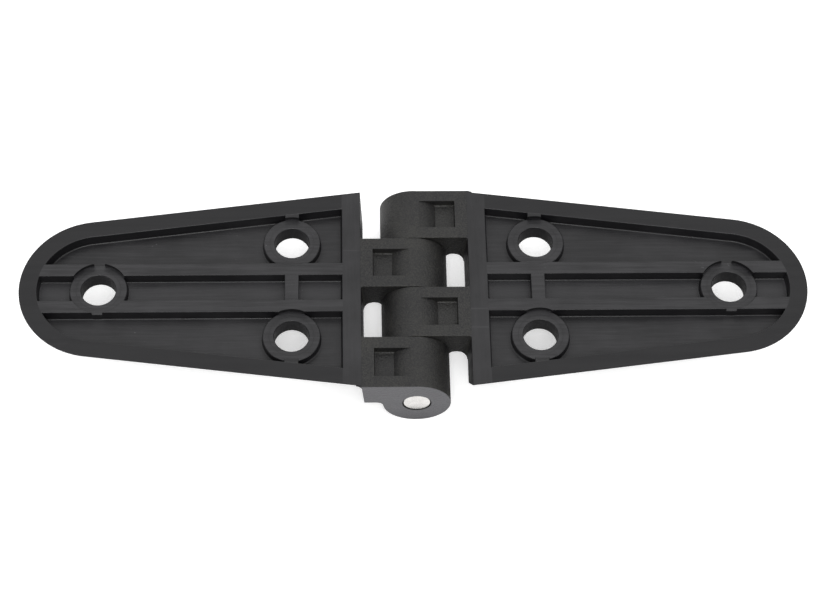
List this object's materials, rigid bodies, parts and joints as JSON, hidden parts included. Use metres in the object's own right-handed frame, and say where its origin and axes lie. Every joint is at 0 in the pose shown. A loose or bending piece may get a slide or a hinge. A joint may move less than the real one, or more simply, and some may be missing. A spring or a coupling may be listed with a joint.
{
  "type": "strap hinge",
  "caption": "Surface-mounted strap hinge with long tapered plastic leaves, ribbed backs, countersunk screw holes and a recessed steel pin.",
  "frame": {"origin": "middle of the pin's axis, which is also the middle of the overall box with the hinge open flat", "axes": "+X along the leaves from the left leaf to the right leaf, +Y along the pin, +Z out of the mounting faces"},
  "size_m": [0.16, 0.0466, 0.0136],
  "materials": {
    "leaf_plastic": "black glass-filled nylon, lightly spark-eroded on the knuckles",
    "pin_steel": "bright stainless steel"
  },
  "bodies": {
    "left_leaf": {"left_leaf": "leaf_plastic", "hinge_pin": "pin_steel"},
    "right_leaf": {"right_leaf": "leaf_plastic"}
  },
  "joints": [
    {"name": "leaf_fold", "type": "hinge", "parent": "left_leaf", "child": "right_leaf", "pos_m": [0, 0, 0], "axis": [0, 1, 0], "range_deg": [-106, 180]}
  ]
}
